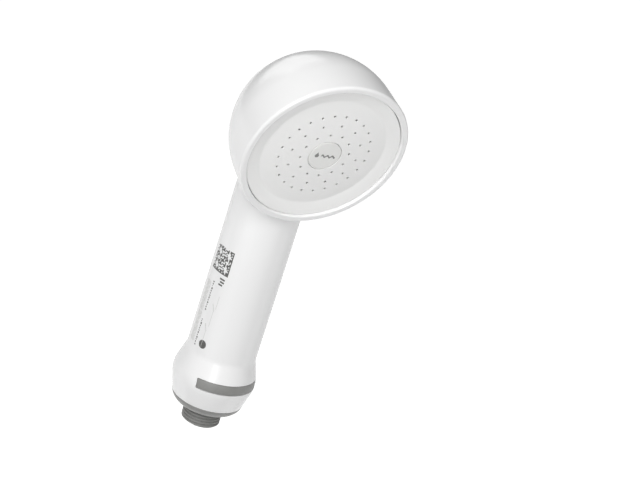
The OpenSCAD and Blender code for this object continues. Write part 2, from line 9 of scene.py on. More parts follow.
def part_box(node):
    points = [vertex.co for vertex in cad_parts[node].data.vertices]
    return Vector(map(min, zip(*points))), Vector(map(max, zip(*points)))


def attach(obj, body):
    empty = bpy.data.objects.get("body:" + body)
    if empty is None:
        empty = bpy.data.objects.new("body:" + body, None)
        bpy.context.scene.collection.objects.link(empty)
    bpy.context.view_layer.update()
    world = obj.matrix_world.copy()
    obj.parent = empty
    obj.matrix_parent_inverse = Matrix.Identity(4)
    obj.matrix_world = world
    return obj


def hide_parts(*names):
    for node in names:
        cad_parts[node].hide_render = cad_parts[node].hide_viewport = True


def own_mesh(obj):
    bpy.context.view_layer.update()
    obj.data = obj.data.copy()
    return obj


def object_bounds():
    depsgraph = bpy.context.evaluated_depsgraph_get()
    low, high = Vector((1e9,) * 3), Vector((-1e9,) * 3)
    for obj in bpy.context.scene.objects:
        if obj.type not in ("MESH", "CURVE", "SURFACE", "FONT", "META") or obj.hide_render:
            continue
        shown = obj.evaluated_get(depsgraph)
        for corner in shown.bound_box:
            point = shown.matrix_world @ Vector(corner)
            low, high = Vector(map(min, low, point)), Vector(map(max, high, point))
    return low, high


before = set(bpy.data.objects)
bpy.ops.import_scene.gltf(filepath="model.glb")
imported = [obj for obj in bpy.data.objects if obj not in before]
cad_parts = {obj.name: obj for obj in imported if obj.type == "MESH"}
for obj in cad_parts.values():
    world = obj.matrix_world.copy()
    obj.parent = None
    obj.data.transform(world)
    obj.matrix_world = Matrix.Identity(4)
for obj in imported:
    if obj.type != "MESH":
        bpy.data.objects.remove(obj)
CAD_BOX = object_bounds()

MM = 0.001
BODY = "shower"

# ------------------------------------------------------------------ sizes in millimetres
HEAD_R = 43.3           # ball of the head
HEAD_WALL = 2.9
FACE_DEPTH = 13.8       # from the ball's centre to the crown of the spray plate
TILT = math.radians(17)             # the spray face looks this far below level
SKIRT_DRAFT = math.radians(3.3)     # the skirt opens this much towards the rim
RIM_PROUD = 0.45        # the rim stands this far past the plate's crown
RIM_ROUND = 1.5         # roundings of the rim's outer and inner edges
RIM_INNER_ROUND = 0.8
INSERT_GAP = 0.3        # between the spray insert and the head's wall
BORDER_W = 6.9          # sloping border of the insert
BORDER_FILLET = 1.6     # rounding of the valley between the border and the plate
PLATE_SAG = 3.1         # the plate's edge lies this far below its crown
PLATE_T = 2.2
INSERT_EDGE_DROP = 1.1  # and the border's outer edge this far
INSERT_EDGE_ROUND = 0.3
INSERT_DEPTH = 9.0
INSERT_WALL = 3.4
INSERT_STEP_R = 4.6     # the plate's underside starts this far in from the wall's outside
INSERT_STEP_Z = 7.5     # and its step lies this far below the crown
HUB_DEPTH = 7           # solid middle of the insert
HUB_WALL = 0.5
JET_R = 0.6             # spray hole at the plate's face
JET_LIP = 0.2           # each hole is this deep before it widens behind the plate's face
RELIEF_R = 1.6          # radius that it widens to
RELIEF_T = 0.75         # depth at which it has that radius
JET_RINGS = ((24.34, 24, 131.6), (18.8, 12, 116.6), (13.15, 12, 131.6))   # radius, holes, first angle
BADGE_R = 8.5
BADGE_T = 1.4
BADGE_GAP = 0.36        # open line round the badge
BADGE_ROUND = 0.25
POCKET_CHAMFER = 0.12   # edge and floor of the badge's pocket
POCKET_ROOM = 0.1
SEAM_ROUND = 0.2        # rounding of edges that meet at a seam
CAVITY_TOP = 3          # the tool that hollows the head ends this far past the crown
GRIP_WALL = 2.2         # wall of the handle's tube
NECK_ROOM = 0.1         # between the head's spigot and the tube
NECK_WALL = 2.6
NECK_BORE_DROP = 20     # the neck's bore ends this far below the ball's centre
HEAD_SEAM = 0.1         # between the handle's top and the head's fairing
HEAD_ROOM = 0.1         # between the handle's top and the ball
ROW_Z = 44.4            # the tube's wall is cut into even rows that are counted from here
ROW_STEP = 7.2
BELLY_Z = 28.4          # widest part of the tail
BELLY_ROUND = 16.0
FLANK_UP = math.radians(17)
FLANK_DOWN = math.radians(15)
NECK_FILLET = 10.0      # hollow rounding where the tail runs into the handle
TAIL_WALL = 2           # bore, spigot and throat of the tail, from the handle's surface inwards
TAIL_SPIGOT = 2.3
THROAT_WALL = 3.6
THROAT_STEP = 1         # the throat opens this much above its ledge
LEDGE_TOP = 44
LEDGE_FOOT = 40
CONE_FOOT = 36          # the ledge runs out into the bore here
SPIGOT_SUNK = 0.05      # the spigot starts this far below the tail's top
BAND_HALF_ANGLE = math.radians(50.5)
BAND_CORNER = 0.8
BAND_DEPTH = 1.8
BAND_SUNK = 0.3         # the band's face lies this far below the tail's surface
BAND_ROUND = 0.12
BAND_BACK_GAP = 0.03    # between the band's back and the pocket's floor
BAND_GAP = 0.1          # between the band and the pocket's edge in the frame
BAND_SEAM = 0.34        # open line round the band, above a flange at its foot
BAND_FLANGE = 1.1       # depth of that flange
CAP_ROUND = 7.5         # rounding of the inlet cap
CAP_SEAM = 0.1          # between the cap's edge and the tail's
CAP_LIP = 0.06
CAP_SPIGOT = 2.1        # the cap's spigot lies this far in from the handle's surface
CAP_SPIGOT_H = 6.8
CAP_CHAMFER = 0.3       # spigot's top edge, inlet's mouth and shoulder's foot
CAP_FLOOR = 2.4         # under the hollow round the cap's boss
CAP_WALL = 1.8
BOSS_R = 9.9
SOCKET_STEP = 1         # the bore is this much wider at the boss's top, down to a short cone
SOCKET_DEPTH = 2
SOCKET_FOOT = 3
SHOULDER_Z = 9.7        # the thread stops here
THREAD_R = 10.4775      # crest of the inlet thread
THREAD_PITCH = 1.814
THREAD_DEPTH = 1.162
CREST_HALF = 0.22       # half width of a ridge at its crest and at its root
ROOT_HALF = 0.78
RIDGE_TURNS = 6.4       # the helix is made this long and then trimmed
RIDGE_SUNK = 0.3        # its foot is sunk this far into the cap
THREAD_CHAMFER = 0.4
INLET_R = 7.5           # open mouth, stop and bore of the inlet
STOP_R = 6.2
MOUTH_DEPTH = 5.2
STOP_H = 1.2
SPRING_R = 2.9          # middle of the spring's wire from the axis
WIRE_R = 0.3
PRINT_T = 0.02          # thickness of printed ink above the surface
PRINT_SUNK = 0.03       # and below it on the handle
EMBLEM_SUNK = 0.05      # and below it on the badge
OVERCUT = 1             # a cutter runs this far past what it cuts
SEGMENTS = 160          # steps of a turned shape
HOLE_STEPS = 20         # steps of a spray hole
SMOOTH_ANGLE = 32       # degrees; sharper edges stay sharp
SHARP_ANGLE = 40


# ------------------------------------------------------------------ places read from the frame
def high(name, axis):
    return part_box(name)[1][axis] / MM


def low(name, axis):
    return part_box(name)[0][axis] / MM


HANDLE_R = high("handle_tube", 0)
HANDLE_TOP = high("handle_tube", 2)
TAIL_TOP = low("handle_tube", 2)
SPIGOT_TOP = high("tail_shell", 2)
BELLY_R = high("tail_shell", 0)
CAP_EDGE_Z = low("tail_shell", 2)
CAP_TOP = high("inlet_cap", 2)
BAND_Z0 = low("band_inlay", 2) - BAND_GAP
BAND_Z1 = high("band_inlay", 2) + BAND_GAP
NECK_Z0 = low("head_shell", 2)
SPRING_Z0 = low("valve_spring", 2)
SPRING_Z1 = high("valve_spring", 2)

HEAD_Y = HANDLE_R - HEAD_R
HEAD_Z = high("head_shell", 2) - HEAD_R
CAVITY_R = HEAD_R - HEAD_WALL
INSERT_R = CAVITY_R - INSERT_GAP
PLATE_R = INSERT_R - BORDER_W
FACE_Y = HEAD_Y - FACE_DEPTH * math.cos(TILT)
FACE_Z = HEAD_Z - FACE_DEPTH * math.sin(TILT)
FACE = Matrix.Translation(Vector((0, FACE_Y, FACE_Z)) * MM) @ Matrix.Rotation(math.pi / 2 + TILT, 4, "X")


# ------------------------------------------------------------------ making a mesh
def deselect():
    bpy.ops.object.select_all(action="DESELECT")


def pick(piece):
    deselect()
    piece.select_set(True)
    bpy.context.view_layer.objects.active = piece


def arc(centre, r, start, end, count):
    """Points along an arc of an outline, from one angle to another in degrees."""
    angles = [math.radians(start + (end - start) * i / count) for i in range(count + 1)]
    return [(centre[0] + r * math.cos(a), centre[1] + r * math.sin(a)) for a in angles]


def settle(piece, matrix=None):
    """Puts the piece's place into its mesh."""
    pick(piece)
    if matrix is not None:
        piece.matrix_world = matrix @ piece.matrix_world
    bpy.ops.object.transform_apply(location=True, rotation=True, scale=True)
    return piece


def select_mesh():
    bpy.ops.mesh.select_all(action="SELECT")


def push(step):
    """Extrudes what is selected by a step in metres."""
    bpy.ops.mesh.extrude_region_move(TRANSFORM_OT_translate={"value": step})


def point_piece(name, point):
    """A new piece in edit mode that is a single point, given in millimetres, to extrude from."""
    deselect()
    bpy.ops.mesh.primitive_plane_add(size=MM)
    piece = bpy.context.object
    piece.name = name
    bpy.ops.object.mode_set(mode="EDIT")
    bpy.ops.mesh.merge(type="CENTER")
    bpy.ops.transform.translate(value=(point[0] * MM, point[1] * MM, point[2] * MM))
    return piece


def drawn(name, outline):
    """A new piece in edit mode that is a line through (radius, height) points, all selected."""
    piece = point_piece(name, (outline[0][0], 0, outline[0][1]))
    for (r0, z0), (r1, z1) in zip(outline, outline[1:]):
        push(((r1 - r0) * MM, 0, (z1 - z0) * MM))
    select_mesh()
    return piece


def leave_edit():
    """Turns all faces outwards and ends edit mode."""
    select_mesh()
    bpy.ops.mesh.normals_make_consistent(inside=False)
    bpy.ops.object.mode_set(mode="OBJECT")


def turned(name, outline, matrix=None, steps=SEGMENTS):
    """Spins half an outline of (radius, height) points round Z into a closed piece."""
    piece = drawn(name, outline)
    bpy.ops.mesh.spin(steps=steps, angle=2 * math.pi, center=(0, 0, 0), axis=(0, 0, 1))
    select_mesh()
    bpy.ops.mesh.remove_doubles(threshold=0.002 * MM)
    leave_edit()
    return settle(piece, matrix)


def coiled(name, section, path):
    """Carries a closed section of (radius, height) points round Z in (degrees, rise) steps."""
    piece = drawn(name, section)
    bpy.ops.mesh.edge_face_add()
    for degrees, rise in path:
        push((0, 0, rise * MM))
        bpy.ops.transform.rotate(value=-math.radians(degrees), orient_axis="Z", orient_type="GLOBAL",
                                 center_override=(0, 0, 0))
    leave_edit()
    return settle(piece)


def rod(r, z0, z1, matrix=None, steps=SEGMENTS):
    """A plain closed cylinder to join on or cut with."""
    return turned("rod", [(0, z0), (r, z0), (r, z1), (0, z1)], matrix, steps)


def combine(piece, tool, operation="DIFFERENCE"):
    """Joins the tool to the piece, cuts it away or keeps what they share, and removes the tool."""
    pick(piece)
    step = piece.modifiers.new("combine", "BOOLEAN")
    step.operation = operation
    step.solver = "MANIFOLD"
    step.object = tool
    bpy.ops.object.modifier_apply(modifier=step.name)
    bpy.data.objects.remove(tool)
    return piece


def soften(piece, width, segments):
    """Rounds the piece's sharp edges."""
    pick(piece)
    step = piece.modifiers.new("soften", "BEVEL")
    step.width = width * MM
    step.segments = segments
    step.limit_method = "ANGLE"
    step.angle_limit = math.radians(SHARP_ANGLE)
    step.harden_normals = False
    bpy.ops.object.modifier_apply(modifier=step.name)
    return piece


def join(pieces, name):
    """Makes one piece of several."""
    deselect()
    for piece in pieces:
        piece.select_set(True)
    bpy.context.view_layer.objects.active = pieces[0]
    bpy.ops.object.join()
    pieces[0].name = name
    return pieces[0]


def shift(x, y, z):
    """A move by millimetres."""
    return Matrix.Translation(Vector((x, y, z)) * MM)


def smooth(piece, angle=SMOOTH_ANGLE):
    pick(piece)
    bpy.ops.object.shade_smooth_by_angle(angle=math.radians(angle))
    return piece


# ------------------------------------------------------------------ materials
def linear(code):
    """An sRGB hex colour as the linear RGBA that a shader takes."""
    channels = [int(code[i:i + 2], 16) / 255 for i in (1, 3, 5)]
    return [c / 12.92 if c <= 0.04045 else ((c + 0.055) / 1.055) ** 2.4 for c in channels] + [1]


def add(mat, kind, links=None, inputs=None, **settings):
    """Adds a node: its settings, its inputs' values, and links into it from other nodes' sockets."""
    made = mat.node_tree.nodes.new(kind)
    for key, value in settings.items():
        setattr(made, key, value)
    for key, value in (inputs or {}).items():
        made.inputs[key].default_value = value
    for key, source in (links or {}).items():
        mat.node_tree.links.new(source, made.inputs[key])
    return made


def finish(name, colour, **values):
    """A new material and its shader, with the shader's plain values set on its own sockets."""
    mat = bpy.data.materials.new(name)
    mat.use_nodes = True
    shader = mat.node_tree.nodes["Principled BSDF"]
    shader.inputs["Base Color"].default_value = linear(colour)
    for key, value in values.items():
        shader.inputs[key.replace("_", " ")].default_value = value
    return mat, shader


def grain(mat, size, detail=3, stretch=(1, 1, 1)):
    """Noise whose grains are size millimetres across, stretched along the object's axes."""
    place = add(mat, "ShaderNodeTexCoord")
    turn = add(mat, "ShaderNodeMapping", {"Vector": place.outputs["Object"]}, {"Scale": stretch})
    return add(mat, "ShaderNodeTexNoise", {"Vector": turn.outputs["Vector"]},
               {"Scale": 1 / (size * MM), "Detail": detail}).outputs["Fac"]


def vary(mat, shader, socket, source, low_value, high_value):
    """Drives one number of the shader between two values."""
    span = add(mat, "ShaderNodeMapRange", {"Value": source},
               {"From Min": 0.3, "From Max": 0.7, "To Min": low_value, "To Max": high_value})
    mat.node_tree.links.new(span.outputs["Result"], shader.inputs[socket])


def tint(mat, shader, source, first, second):
    """Drifts the base colour between two sRGB colours."""
    ramp = add(mat, "ShaderNodeValToRGB", {"Fac": source})
    ramp.color_ramp.elements[0].position = 0.3
    ramp.color_ramp.elements[1].position = 0.7
    ramp.color_ramp.elements[0].color = linear(first)
    ramp.color_ramp.elements[1].color = linear(second)
    mat.node_tree.links.new(ramp.outputs["Color"], shader.inputs["Base Color"])


def bumpy(mat, shader, source, height):
    """Raises the surface by up to height millimetres."""
    bump = add(mat, "ShaderNodeBump", {"Height": source}, {"Strength": 1.0, "Distance": height * MM})
    mat.node_tree.links.new(bump.outputs["Normal"], shader.inputs["Normal"])


def white_abs():
    # ABS in a polished mould: a smooth white with a soft, slightly uneven gloss
    mat, shader = finish("moulded_white_abs", "#F4F4F4", IOR=1.53, Roughness=0.22)
    tint(mat, shader, grain(mat, 60, 1), "#F3F3F3", "#F5F5F5")
    vary(mat, shader, "Roughness", grain(mat, 25, 1), 0.21, 0.23)
    bumpy(mat, shader, grain(mat, 9, 0), 0.0004)
    return mat


def face_abs():
    # ABS in a fine matt mould: the spray plate scatters light more than the shell
    mat, shader = finish("satin_white_abs", "#F6F6F5", IOR=1.53, Roughness=0.42)
    tint(mat, shader, grain(mat, 40, 1), "#F5F5F4", "#F7F7F6")
    vary(mat, shader, "Roughness", grain(mat, 20, 1), 0.4, 0.44)
    bumpy(mat, shader, grain(mat, 8, 0), 0.0003)
    return mat


def grey_abs():
    # Grey ABS with a spark-eroded mould skin: an even, fine-grained half gloss
    mat, shader = finish("moulded_grey_abs", "#8E8E8C", IOR=1.53, Roughness=0.42)
    tint(mat, shader, grain(mat, 5), "#8B8B89", "#929290")
    vary(mat, shader, "Roughness", grain(mat, 1.5), 0.38, 0.5)
    bumpy(mat, shader, grain(mat, 0.35, 2), 0.004)
    return mat


def badge_abs():
    # The badge: white ABS a shade darker than the plate, with a low sheen
    mat, shader = finish("badge_white_abs", "#EEEEEC", IOR=1.53, Roughness=0.35)
    tint(mat, shader, grain(mat, 12, 1), "#EDEDEB", "#EFEFED")
    vary(mat, shader, "Roughness", grain(mat, 8, 1), 0.33, 0.37)
    bumpy(mat, shader, grain(mat, 4, 0), 0.0003)
    return mat


def rubber():
    # Black EPDM rubber: dark, matt and a little dusty
    mat, shader = finish("black_epdm_rubber", "#2B2B2B", IOR=1.5, Roughness=0.6)
    tint(mat, shader, grain(mat, 1.2), "#262626", "#343433")
    vary(mat, shader, "Roughness", grain(mat, 0.6), 0.55, 0.72)
    bumpy(mat, shader, grain(mat, 0.25, 3), 0.004)
    return mat


def insert_pp():
    # Natural white polypropylene of the inner plumbing pieces: waxy and half gloss
    mat, shader = finish("white_polypropylene", "#E9E8E2", IOR=1.49, Roughness=0.4)
    tint(mat, shader, grain(mat, 8), "#E6E5DE", "#EDECE7")
    vary(mat, shader, "Roughness", grain(mat, 2), 0.36, 0.5)
    bumpy(mat, shader, grain(mat, 0.5, 2), 0.002)
    return mat


def etched_steel():
    # Photo-etched stainless steel sheet: bright, with fine rolling lines
    mat, shader = finish("etched_stainless_steel", "#C9C8C4", Metallic=1.0, Roughness=0.3)
    lines = grain(mat, 0.3, 2, (1, 0.06, 1))
    tint(mat, shader, lines, "#BEBDB9", "#D2D1CD")
    vary(mat, shader, "Roughness", lines, 0.24, 0.4)
    bumpy(mat, shader, lines, 0.002)
    return mat


def turned_steel():
    # Stainless screw, cold headed: bright with faint turning marks round its axis
    mat, shader = finish("headed_stainless_steel", "#BDBCB8", Metallic=1.0, Roughness=0.26)
    marks = grain(mat, 0.4, 2, (1, 1, 0.2))
    tint(mat, shader, marks, "#B3B2AE", "#C8C7C3")
    vary(mat, shader, "Roughness", marks, 0.2, 0.36)
    bumpy(mat, shader, marks, 0.002)
    return mat


def clear_pc():
    # Clear polycarbonate tube: water-clear with a hard gloss
    mat, shader = finish("clear_polycarbonate", "#EEF4F6", IOR=1.585, Roughness=0.06)
    shader.inputs["Transmission Weight"].default_value = 1.0
    vary(mat, shader, "Roughness", grain(mat, 4), 0.04, 0.1)
    bumpy(mat, shader, grain(mat, 6, 1), 0.002)
    return mat


def hollow_fibre():
    # Polysulfone hollow fibre: chalky, porous white threads
    mat, shader = finish("polysulfone_fibre", "#EFEBDD", IOR=1.5, Roughness=0.85)
    streaks = grain(mat, 0.4, 4, (1, 1, 0.08))
    tint(mat, shader, streaks, "#E4DFCE", "#F4F1E6")
    vary(mat, shader, "Roughness", streaks, 0.78, 0.92)
    bumpy(mat, shader, streaks, 0.01)
    return mat


def potting_resin():
    # Cast polyurethane resin: straw-coloured and glossy, with a cloudy body
    mat, shader = finish("cast_polyurethane", "#DCCB9C", IOR=1.5, Roughness=0.2)
    shader.inputs["Transmission Weight"].default_value = 0.25
    tint(mat, shader, grain(mat, 3, 4), "#D3C08C", "#E3D5AC")
    vary(mat, shader, "Roughness", grain(mat, 1), 0.15, 0.3)
    bumpy(mat, shader, grain(mat, 1.5, 2), 0.003)
    return mat


def valve_pom():
    # Acetal valve pieces: dense white with a slippery low sheen
    mat, shader = finish("white_acetal", "#F0EFEA", IOR=1.48, Roughness=0.33)
    tint(mat, shader, grain(mat, 3), "#ECEBE5", "#F3F2EE")
    vary(mat, shader, "Roughness", grain(mat, 1), 0.3, 0.42)
    bumpy(mat, shader, grain(mat, 0.3, 2), 0.001)
    return mat


def limiter_pom():
    # Green acetal of the flow limiter, coloured through
    mat, shader = finish("green_acetal", "#5FA883", IOR=1.48, Roughness=0.35)
    tint(mat, shader, grain(mat, 2), "#58A17C", "#68B08B")
    vary(mat, shader, "Roughness", grain(mat, 1), 0.3, 0.45)
    bumpy(mat, shader, grain(mat, 0.3, 2), 0.001)
    return mat


def printed_ink(name, light, dark):
    # Pad-printed ink: a thin matt layer that covers a little unevenly
    mat, shader = finish(name, light, IOR=1.45, Roughness=0.55)
    tint(mat, shader, grain(mat, 0.5, 3), light, dark)
    vary(mat, shader, "Roughness", grain(mat, 1), 0.5, 0.65)
    bumpy(mat, shader, grain(mat, 0.3, 2), 0.001)
    return mat


SLOT_FINISH = {
    "white_shell": white_abs(),
    "white_plate": face_abs(),
    "grey_plastic": grey_abs(),
    "badge_plastic": badge_abs(),
    "seal_rubber": rubber(),
    "white_insert": insert_pp(),
    "steel_fine": etched_steel(),
    "screw_steel": turned_steel(),
    "clear_tube": clear_pc(),
    "fibre": hollow_fibre(),
    "resin": potting_resin(),
    "valve_plastic": valve_pom(),
    "limiter_plastic": limiter_pom(),
}
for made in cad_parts.values():
    for place in made.material_slots:
        place.material = SLOT_FINISH[place.material.name]


def mount(piece, slot, replaced):
    """Gives a finished piece its slot's finish and its place in the frame."""
    piece.data.materials.clear()
    piece.data.materials.append(SLOT_FINISH[slot])
    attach(piece, BODY)
    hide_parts(*replaced)


def mount_print(piece, ink):
    """Gives printed marks their ink and their place in the frame."""
    piece.data.materials.clear()
    piece.data.materials.append(ink)
    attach(piece, BODY)


# ------------------------------------------------------------------ head
def head_outline():
    """The head's outer half outline in the face frame, from the back pole round the rim to the axis."""
    draft = math.degrees(SKIRT_DRAFT)
    skirt_r = HEAD_R * math.cos(SKIRT_DRAFT)
    skirt_z = -FACE_DEPTH - HEAD_R * math.sin(SKIRT_DRAFT)
    rim_z = RIM_PROUD - RIM_ROUND
    rim_r = skirt_r + (rim_z - skirt_z) * math.tan(SKIRT_DRAFT) - RIM_ROUND
    ball = arc((0, -FACE_DEPTH), HEAD_R, -90, -draft, 56)
    return ball + arc((rim_r, rim_z), RIM_ROUND, -draft, 90, 10) + [(0, RIM_PROUD)]


def cavity_outline():
    """The inside of the head, with the round inner edge of the rim."""
    edge_r = CAVITY_R + RIM_INNER_ROUND
    edge_z = RIM_PROUD - RIM_INNER_ROUND
    ball = arc((0, -FACE_DEPTH), CAVITY_R, -90, 0, 40)
    return ball + arc((edge_r, edge_z), RIM_INNER_ROUND, 180, 90, 8) + [(edge_r, CAVITY_TOP), (0, CAVITY_TOP)]


def head_cover():
    tube_bore_r = HANDLE_R - GRIP_WALL
    spigot_r = tube_bore_r - NECK_ROOM
    bore_r = spigot_r - NECK_WALL
    piece = turned("head_cover", head_outline(), FACE)
    fairing_z = HANDLE_TOP + HEAD_SEAM
    lip = arc((HANDLE_R - SEAM_ROUND, fairing_z + SEAM_ROUND), SEAM_ROUND, -90, 0, 4)
    combine(piece, turned("fairing", [(0, fairing_z)] + lip + [(HANDLE_R, HEAD_Z), (0, HEAD_Z)]), "UNION")
    combine(piece, rod(spigot_r, NECK_Z0, HEAD_Z), "UNION")
    combine(piece, turned("cavity", cavity_outline(), FACE))
    combine(piece, rod(bore_r, NECK_Z0 - OVERCUT, HEAD_Z - NECK_BORE_DROP))
    mount(smooth(piece), "white_shell", ["head_shell"])


head_cover()


# ------------------------------------------------------------------ spray insert
def crown_z(r):
    """Height of the domed plate at a radius, in the face frame."""
    ball = (PLATE_R ** 2 + PLATE_SAG ** 2) / (2 * PLATE_SAG)
    return math.sqrt(ball ** 2 - r ** 2) - ball


def insert_outline():
    """The insert's half outline: plate, filleted valley, sloping border, outer wall and underside."""
    pocket_r = BADGE_R + BADGE_GAP
    pocket_z = -BADGE_T - POCKET_ROOM
    hub_r = pocket_r + HUB_WALL
    wall_r = INSERT_R - INSERT_WALL
    step_r = INSERT_R - INSERT_STEP_R
    start = PLATE_R - BORDER_FILLET / 2
    end = PLATE_R + BORDER_FILLET / 2
    slope = (PLATE_SAG - INSERT_EDGE_DROP) / BORDER_W
    corners = [(start, crown_z(start)), (PLATE_R, -PLATE_SAG), (end, -PLATE_SAG + slope * (end - PLATE_R))]
    valley_steps = 12
    plate_steps = 14
    valley = []
    for i in range(1, valley_steps):
        t = i / valley_steps
        share = ((1 - t) ** 2, 2 * t * (1 - t), t ** 2)
        valley.append(tuple(sum(k * p[axis] for k, p in zip(share, corners)) for axis in (0, 1)))
    rim = [(pocket_r, crown_z(pocket_r) - POCKET_CHAMFER), (pocket_r + POCKET_CHAMFER, crown_z(pocket_r))]
    radii = [pocket_r + (start - pocket_r) * i / plate_steps for i in range(1, plate_steps + 1)]
    plate = [(r, crown_z(r)) for r in radii]
    lip_centre = (INSERT_R - INSERT_EDGE_ROUND, -INSERT_EDGE_DROP - INSERT_EDGE_ROUND)
    lip = arc(lip_centre, INSERT_EDGE_ROUND, 100, 0, 5)
    back = [(INSERT_R, -INSERT_DEPTH), (wall_r, -INSERT_DEPTH)]
    step = [(wall_r, -INSERT_STEP_Z), (step_r, -INSERT_STEP_Z)]
    under = [(r, crown_z(min(r, PLATE_R)) - PLATE_T) for r in (step_r, 30, 24, 18, 12, hub_r)]
    hub = [(hub_r, -HUB_DEPTH), (0, -HUB_DEPTH), (0, pocket_z), (pocket_r, pocket_z)]
    return rim + plate + [corners[0]] + valley + [corners[2]] + lip + back + step + under + hub


def jet_cutter():
    """All the spray holes as one tool, each relieved behind a thin lip."""
    holes = []
    for ring_r, count, first in JET_RINGS:
        top = crown_z(ring_r)
        outline = [(0, -HUB_DEPTH), (RELIEF_R, -HUB_DEPTH), (RELIEF_R, top - RELIEF_T),
                   (JET_R, top - JET_LIP), (JET_R, OVERCUT), (0, OVERCUT)]
        for i in range(count):
            angle = math.radians(first + 360 * i / count)
            place = FACE @ shift(ring_r * math.cos(angle), ring_r * math.sin(angle), 0)
            holes.append(turned("hole", outline, place, HOLE_STEPS))
    return join(holes, "holes")


def spray_insert():
    outline = insert_outline()
    piece = turned("spray_insert", outline + outline[:1], FACE)
    combine(piece, jet_cutter())
    mount(smooth(piece), "white_plate", ["spray_face"])


spray_insert()


# ------------------------------------------------------------------ badge
def badge_disc():
    edge = arc((BADGE_R - BADGE_ROUND, crown_z(BADGE_R) - BADGE_ROUND), BADGE_ROUND, 0, 88, 5)
    dome_r = BADGE_R - 0.3
    dome_steps = 8
    dome = []
    for i in range(dome_steps + 1):
        r = dome_r - dome_r * i / dome_steps
        dome.append((r, crown_z(r)))
    piece = turned("badge_disc", [(0, -BADGE_T), (BADGE_R, -BADGE_T)] + edge + dome, FACE)
    mount(smooth(piece), "badge_plastic", ["badge"])


badge_disc()


# ------------------------------------------------------------------ handle and tail
def neck_centre():
    """Centre of the hollow rounding between the tail's upper flank and the handle."""
    flank_r = BELLY_R - BELLY_ROUND + BELLY_ROUND * math.cos(FLANK_UP)
    flank_z = BELLY_Z + BELLY_ROUND * math.sin(FLANK_UP)
    corner_z = flank_z + (flank_r - HANDLE_R) / math.tan(FLANK_UP)
    return HANDLE_R + NECK_FILLET, corner_z + NECK_FILLET * math.tan(FLANK_UP / 2)


def neck_arc(start, end, count):
    """Part of that rounding, by its angles from level in degrees."""
    return arc(neck_centre(), NECK_FILLET, 180 + start, 180 + end, count)


def joint_angle():
    """Angle on the rounding at which the tail ends and the handle starts."""
    return math.degrees(math.asin((neck_centre()[1] - TAIL_TOP) / NECK_FILLET))


def grip_tube():
    bore_r = HANDLE_R - GRIP_WALL
    top = arc((HANDLE_R - SEAM_ROUND, HANDLE_TOP - SEAM_ROUND), SEAM_ROUND, 0, 90, 4)
    wall = [(HANDLE_R, ROW_Z + ROW_STEP * i) for i in range(1, 16)]
    outline = [(bore_r, TAIL_TOP)] + neck_arc(joint_angle(), 0, 5) + wall + top + [(bore_r, HANDLE_TOP)]
    piece = turned("grip_tube", outline + outline[:1])
    ball = arc((0, -FACE_DEPTH), HEAD_R, -90, 0, 56)
    side = [(r + HEAD_ROOM, z) for r, z in ball[1:]]
    room = [(0, -FACE_DEPTH - HEAD_R - HEAD_ROOM)] + side + [(HEAD_R + HEAD_ROOM, 0), (0, 0)]
    combine(piece, turned("head_room", room, FACE))
    mount(smooth(piece), "white_shell", ["handle_tube"])


grip_tube()


def tail_foot_r():
    """Radius of the tail's lower edge, which the cap carries on from."""
    flank_r = BELLY_R - BELLY_ROUND + BELLY_ROUND * math.cos(FLANK_DOWN)
    flank_z = BELLY_Z - BELLY_ROUND * math.sin(FLANK_DOWN)
    return flank_r - (flank_z - CAP_EDGE_Z) * math.tan(FLANK_DOWN)


def tail_side(inset=0.0):
    """The tail's outer half outline from the cap's edge to the handle."""
    foot = arc((tail_foot_r() - SEAM_ROUND, CAP_EDGE_Z + SEAM_ROUND), SEAM_ROUND, -90, -15, 4)
    belly_centre = (BELLY_R - BELLY_ROUND, BELLY_Z)
    belly = arc(belly_centre, BELLY_ROUND, -math.degrees(FLANK_DOWN), math.degrees(FLANK_UP), 24)
    side = foot + belly + neck_arc(math.degrees(FLANK_UP), joint_angle(), 8)
    return [(r - inset, z) for r, z in side]


def slot_prism(gap):
    """A round-cornered bar that points out of the front of the tail, at the band's place."""
    half_w = BELLY_R * math.sin(BAND_HALF_ANGLE) - gap
    half_h = (BAND_Z1 - BAND_Z0) / 2 - gap
    deselect()
    bpy.ops.mesh.primitive_plane_add(size=2 * MM, rotation=(math.pi / 2, 0, 0))
    piece = bpy.context.object
    piece.scale = (half_w, half_h, 1)
    piece.location = (0, 0, (BAND_Z0 + BAND_Z1) / 2 * MM)
    settle(piece)
    bpy.ops.object.mode_set(mode="EDIT")
    select_mesh()
    bpy.ops.mesh.bevel(offset=BAND_CORNER * MM, segments=6, affect="VERTICES")
    select_mesh()
    push((0, -(BELLY_R + OVERCUT) * MM, 0))
    leave_edit()
    return piece


def tail_cover():
    bore_r = HANDLE_R - TAIL_WALL
    spigot_r = HANDLE_R - TAIL_SPIGOT
    throat_r = spigot_r - THROAT_WALL
    upper_r = throat_r + THROAT_STEP
    inside = [(spigot_r, TAIL_TOP - SPIGOT_SUNK), (spigot_r, SPIGOT_TOP), (upper_r, SPIGOT_TOP),
              (upper_r, LEDGE_TOP), (throat_r, LEDGE_TOP), (throat_r, LEDGE_FOOT), (bore_r, CONE_FOOT),
              (bore_r, CAP_EDGE_Z)]
    outline = tail_side() + inside
    piece = turned("tail_cover", outline + outline[:1])
    pocket = combine(slot_prism(0), rod(BELLY_R - BAND_DEPTH, BAND_Z0 - OVERCUT, BAND_Z1 + OVERCUT))
    combine(piece, pocket)
    mount(smooth(piece), "white_shell", ["tail_shell"])


tail_cover()


def band_layer(sunk, seam):
    """A slice of the tail's own curve, sunk below its surface and trimmed to the pocket less the seam."""
    back_r = BELLY_R - BAND_DEPTH + BAND_BACK_GAP
    curve = [p for p in tail_side(sunk) if p[0] >= back_r and p[1] < BAND_Z1 + 3]
    ring = curve + [(back_r, curve[-1][1]), (back_r, curve[0][1])]
    piece = turned("band_strip", ring + ring[:1])
    return combine(piece, slot_prism(seam), "INTERSECT")


